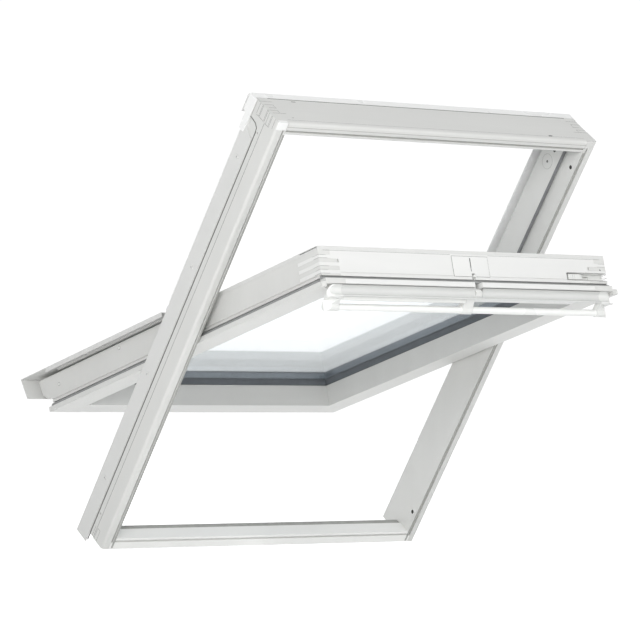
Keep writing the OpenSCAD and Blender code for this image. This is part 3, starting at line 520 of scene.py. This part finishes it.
def makeSashJoint(side, d):
    face, top, w = d["face"], d["top"], d["wide"]
    parts = []
    for n, down, across in d["fingers"]:
        parts.append(faceBar(side, face, (n, n + w), (top - down, top), d))
        parts.append(headBar(side, (face, face - across), top, (n, n + w), d))
    return parts


for side, tag in ((-1, "Left"), (1, "Right")):
    addLines("sashJointLines" + tag, makeSashJoint(side, sashJoint), onSash,
             "hairline", "sash")

# dark shadow gaps: beside the cladding and round its end, along the recess, under the head cover
gapLines = {
    "proud": 0.2, "sunk": 0.5, "face": 388.5, "clad": (50.3, 53), "cladEnds": (-15, 926),
    "groove": (37.3, 38.5), "grooveEnds": (0, 953), "head": (84.6, 86), "headReach": 364, "top": 978,
    "curve": ((52, 925), (53.4, 932.8), (61.8, 938.4), (71.1, 939.8), (81.2, 940.7),
              (85.2, 941.8), (85.7, 946.9), (86.4, 961), (84.4, 975.9)),
    "curveWide": 1.5, "curveThick": 1.2}


def makeGaps(d):
    parts = []
    for side in (-1, 1):
        parts.append(faceBar(side, d["face"], d["clad"], d["cladEnds"], d))
        parts.append(faceBar(side, d["face"], d["groove"], d["grooveEnds"], d))
        parts += strokeBars(side * d["face"], d["curve"], d["curveWide"], d["curveThick"])
    parts.append(headBar(1, (-d["headReach"], d["headReach"]), d["top"], d["head"], d))
    return parts


addLines("frameShadowGaps", makeGaps(gapLines), inRoof, "gap", "frame", 0.15)

# dark marks in the head's face and a hairline along it: x, depth, half length and width
headMarks = {"top": 978, "sunk": 0.3, "proud": 0.06,
             "fine": ((-345, 20, 2, 1.2), (0, 11.8, 362, 0.45)),
             "deep": ((-308, 79, 5, 2), (278, 13.5, 4.5, 3.6))}


def makeMarks(d, which):
    return [addBar((x - r, n - w / 2, d["top"] - d["sunk"]), (x + r, n + w / 2, d["top"] + d["proud"]))
            for x, n, r, w in d[which]]


addLines("headHairlines", makeMarks(headMarks, "fine"), inRoof, "hairline", "frame")
addLines("headNicks", makeMarks(headMarks, "deep"), inRoof, "gap", "frame")

# the room face: a fine dark line of painted shade behind the rounded edge, and a darker strip of painted
# shade inside the lining groove
roomFace = {"line": (968.4, 969.3), "reach": 365, "strip": (365.3, 369.6), "ends": (2, 952),
            "proud": 0.08, "sunk": 0.4}


def makeRoomStrips(d):
    parts = []
    for side in (-1, 1):
        a, b = sorted(side * x for x in d["strip"])
        parts.append(addBar((a, -d["proud"], d["ends"][0]), (b, d["sunk"], d["ends"][1])))
    return parts


roomLine = addBar((-roomFace["reach"], -roomFace["proud"], roomFace["line"][0]),
                  (roomFace["reach"], roomFace["sunk"], roomFace["line"][1]))
addLines("headEdgeShadeLine", [roomLine], inRoof, "edgeShade", "frame")
addLines("railEdgeShadeStrips", makeRoomStrips(roomFace), inRoof, "edgeShade", "frame")
print("stage: joint lines and gaps")

# square painted block where the side rail's lining groove ends; its whiter paint is a painted highlight
# where the edge highlights meet
cornerBlock = {"low": (-388.4, -0.3, 961), "high": (-366.5, 8.5, 978.2), "soft": 1.2}
block = addBar(cornerBlock["low"], cornerBlock["high"])
block.name = "cornerBlockLeft"
softenEdges(block, cornerBlock["soft"])
setDown(block, inRoof, "highlightPaint", "frame")

# hairline round the plain plate, and along the head under the bead and above the lip
plateLine = {"x": (-34.5, 52.5), "depth": (57, 96), "wide": 0.5, "top": 937.55, "sunk": 0.3,
             "proud": 0.08, "beadDepth": (98.7, 99.2), "beadHeight": (936.7, 937.06),
             "reach": 338, "clear": 2}


def makePlateLines(d):
    (x0, x1), (n0, n1), w = d["x"], d["depth"], d["wide"]
    (beadIn, beadOut), (beadLow, beadHigh) = d["beadDepth"], d["beadHeight"]
    low, high = d["top"] - d["sunk"], d["top"] + d["proud"]
    sides = [(x0 - w, x0, n0 - w, n1 + w), (x1, x1 + w, n0 - w, n1 + w),
             (x0, x1, n1, n1 + w), (x0, x1, n0 - w, n0)]
    parts = [addBar((a, c, low), (b, e, high)) for a, b, c, e in sides]
    for a, b in ((-d["reach"], x0 - d["clear"]), (x1 + d["clear"], d["reach"])):
        parts.append(addBar((a, beadIn, beadLow), (b, beadOut, beadHigh)))
    return parts


addLines("plateLine", makePlateLines(plateLine), onSash, "hairline", "sash")

# the key slit in the plate as a dark bar, wider at its outer end: painted shade for the opening
slit = {"x": 9.6, "depth": (74, 93), "half": (0.45, 1.0), "low": 937.2, "high": 937.66}


def makeSlit(d):
    (n0, n1), (thin, broad) = d["depth"], d["half"]
    bar = addBar((d["x"] - broad, n0, d["low"]), (d["x"] + broad, n1, d["high"]))
    for v in bar.data.vertices:
        if v.co.y * 1000 < (n0 + n1) / 2:
            v.co.x = (d["x"] + math.copysign(thin, v.co.x * 1000 - d["x"])) / 1000
    return bar


addLines("keySlitShade", [makeSlit(slit)], onSash, "gap", "sash")

# painted shade: a dark outline round the barrel bolt's slot, and a dark disc for the small hole beside it
boltSlot = {"x": (249, 346), "depth": (56.9, 71.1), "wide": 0.7, "top": 937, "sunk": 0.3, "proud": 0.07,
            "holeAt": (335, 78), "hole": 1.6, "holeSunk": 0.2, "holeDeep": 0.6, "holeSides": 16}


def makeSlotLines(d):
    (x0, x1), (n0, n1), w, top = d["x"], d["depth"], d["wide"], d["top"]
    low, high = top - d["sunk"], top + d["proud"]
    parts = [addBar((x0, n1, low), (x1, n1 + w, high)), addBar((x0, n0 - w, low), (x1, n0, high)),
             addBar((x0 - w, n0, low), (x0, n1, high))]
    parts.append(addRod((*d["holeAt"], top - d["holeSunk"]), d["hole"], d["holeDeep"], "height",
                        d["holeSides"]))
    return parts


addLines("boltSlotShade", makeSlotLines(boltSlot), onSash, "gap", "sash")

# ring that a router left round the small hole in the right rail
router = {"at": (355, 69, 888), "ring": 15, "thick": 0.35, "ringSides": 64, "thickSides": 8,
          "hole": 2.6, "holeDeep": 0.5, "holeSides": 20}


def makeRouterMark(d):
    bpy.ops.object.select_all(action="DESELECT")
    bpy.ops.mesh.primitive_torus_add(
        major_radius=d["ring"] / 1000, minor_radius=d["thick"] / 1000,
        major_segments=d["ringSides"], minor_segments=d["thickSides"],
        location=Vector(d["at"]) / 1000, rotation=(0, math.pi / 2, 0))
    bpy.ops.object.transform_apply(location=True, rotation=True, scale=True)
    return [bpy.context.object]


addLines("routerMark", makeRouterMark(router), inRoof, "edgeShade", "frame", 0.05)
# the small hole as a dark disc: painted shade in the hole
holeRod = addRod(router["at"], router["hole"], router["holeDeep"], "x", router["holeSides"])
addLines("routerHoleShade", [holeRod], inRoof, "gap", "frame")

# a dark lining in the bores that take the barrel bolt when the sash is vented, turned over and shut,
# painted shade for their depth:
# sash angle, x where the bore starts and radius
boltBores = {"home": (64, 918), "end": 378.8, "thick": 0.15, "sides": 40,
             "bores": ((6.7, 366, 4.37), (161, 366, 4.37), (0, 355.6, 4.57))}


def makeBoreLinings(d):
    parts = []
    fromPivot = Vector((d["home"][0] - pivotDepth, d["home"][1] - pivotHeight))
    x1 = d["end"]
    for degrees, x0, radius in d["bores"]:
        a = math.radians(degrees)
        n = pivotDepth + fromPivot.x * math.cos(a) - fromPivot.y * math.sin(a)
        h = pivotHeight + fromPivot.x * math.sin(a) + fromPivot.y * math.cos(a)
        bpy.ops.object.select_all(action="DESELECT")
        bpy.ops.mesh.primitive_cylinder_add(
            vertices=d["sides"], radius=radius / 1000, depth=(x1 - x0) / 1000, end_fill_type="NOTHING",
            location=Vector(((x0 + x1) / 2, n, h)) / 1000, rotation=(0, math.pi / 2, 0))
        bpy.ops.object.transform_apply(location=True, rotation=True, scale=True)
        tube = bpy.context.object
        shell = tube.modifiers.new("thickness", "SOLIDIFY")
        shell.thickness = d["thick"] / 1000
        bpy.ops.object.modifier_apply(modifier=shell.name)
        parts.append(tube)
    return parts


addLines("boltBoreShade", makeBoreLinings(boltBores), inRoof, "gap", "frame", 0.04)

# thumb slide of the barrel bolt: a slanted end, soft edges and three ribs
thumb = {"x": (252, 290), "depth": (58.5, 69.5), "height": (929, 935.2), "slant": 9, "soft": 1,
         "ribs": 3, "ribFrom": 6, "ribStep": 5, "ribWide": 1.6, "ribIn": 1.5, "ribSunk": 0.4,
         "ribProud": 0.6, "ribSoft": 0.35}


def makeThumb(t):
    (x0, x1), (n0, n1), (h0, h1) = t["x"], t["depth"], t["height"]
    body = addBar((x0, n0, h0), (x1, n1, h1))
    for v in body.data.vertices:
        if v.co.x * 1000 > (x0 + x1) / 2 and v.co.y * 1000 > (n0 + n1) / 2:
            v.co.x -= t["slant"] / 1000
    softenEdges(body, t["soft"])
    ribs = []
    for k in range(t["ribs"]):
        x = x0 + t["ribFrom"] + t["ribStep"] * k
        rib = addBar((x, n0 + t["ribIn"], h1 - t["ribSunk"]),
                     (x + t["ribWide"], n1 - t["ribIn"], h1 + t["ribProud"]))
        softenEdges(rib, t["ribSoft"])
        ribs.append(rib)
    return joinAll([body] + ribs, "boltThumb")


setDown(makeThumb(thumb), onSash, "plastic", "barrel_bolt")
print("stage: small details")

# white plugs in the sash's side faces, each in a dark ring of painted shade
plugs = {"face": 349, "at": ((92.2, 280.6), (77.2, 59)), "radius": 3.3, "ring": 3.9,
         "proud": 0.45, "ringProud": 0.1, "sunk": 0.6, "sides": 28}


def makePlugs(d, radius, proud):
    length = proud + d["sunk"]
    reach = d["face"] + (proud - d["sunk"]) / 2
    return [addRod((side * reach, n, h), radius, length, "x", d["sides"])
            for side in (-1, 1) for n, h in d["at"]]


addLines("plugShadeRings", makePlugs(plugs, plugs["ring"], plugs["ringProud"]), onSash,
         "gap", "sash", 0.05)
addLines("sidePlugs", makePlugs(plugs, plugs["radius"], plugs["proud"]), onSash,
         "plastic", "sash", 0.3)
print("stage: plugs")

# cross recess in every screw head, its near black the painted shade inside it
recess = {"arm": 1.7, "wide": 0.75, "sunk": 0.5, "proud": 0.06, "soft": 0.08}
screwNodes = {"cladding_screws": "frame", "hinge_frame_screws": "frame",
              "cover_screws": "sash", "hinge_sash_screws": "sash"}


def looseParts(mesh):
    # the corner points of each separate screw; its faces share places, not corners
    places = [tuple(round(c, 6) for c in v.co) for v in mesh.vertices]
    near = {place: set() for place in places}
    for edge in mesh.edges:
        a, b = (places[i] for i in edge.vertices)
        near[a].add(b)
        near[b].add(a)
    left = set(near)
    groups = []
    while left:
        todo, group = [min(left)], set()
        while todo:
            place = todo.pop()
            if place not in group:
                group.add(place)
                todo.extend(near[place] - group)
        left -= group
        groups.append(sorted(group))
    return groups


def headOf(points):
    # the middle of a screw's head face and the way it faces, from the turned shape:
    # its axis is the direction whose spread differs most from the other two
    spread = numpy.array(points)
    middle = spread.mean(axis=0)
    values, ways = numpy.linalg.eigh(numpy.cov((spread - middle).T))
    axis = ways[:, 2] if values[2] - values[1] > values[1] - values[0] else ways[:, 0]
    along = (spread - middle) @ axis
    across = numpy.linalg.norm(spread - middle - numpy.outer(along, axis), axis=1)
    end = 1 if across[along > 0].mean() > across[along < 0].mean() else -1
    tip = (along * end).max()
    return Vector(middle + axis * end * tip), Vector(axis * end)


def addRecess(at, way, d):
    # two crossed bars, their long edges rounded off, let into the head
    parts = []
    for turn in (0, math.pi / 2):
        bpy.ops.object.select_all(action="DESELECT")
        bpy.ops.mesh.primitive_cube_add(size=1)
        bar = bpy.context.object
        bar.scale = (2 * d["arm"] / 1000, d["wide"] / 1000, (d["sunk"] + d["proud"]) / 1000)
        bpy.ops.object.transform_apply(location=True, rotation=True, scale=True)
        place = way.to_track_quat("Z", "Y").to_matrix().to_4x4() @ Matrix.Rotation(turn, 4, "Z")
        bar.data.transform(Matrix.Translation(at - way * (d["sunk"] - d["proud"]) / 2000) @ place)
        parts.append(bar)
    return parts


def addScrewRecesses(node, body, d):
    parts = []
    for points in looseParts(nodes[node].data):
        at, way = headOf(points)
        parts += addRecess(at, way, d)
    whole = joinAll(parts, node.split("_")[0] + node.split("_")[1].title() + "RecessShade")
    softenEdges(whole, d["soft"], 1)
    setDown(whole, None, "recess", body)


for node, body in screwNodes.items():
    addScrewRecesses(node, body, recess)
print("stage: screw heads")

print("stage: done")
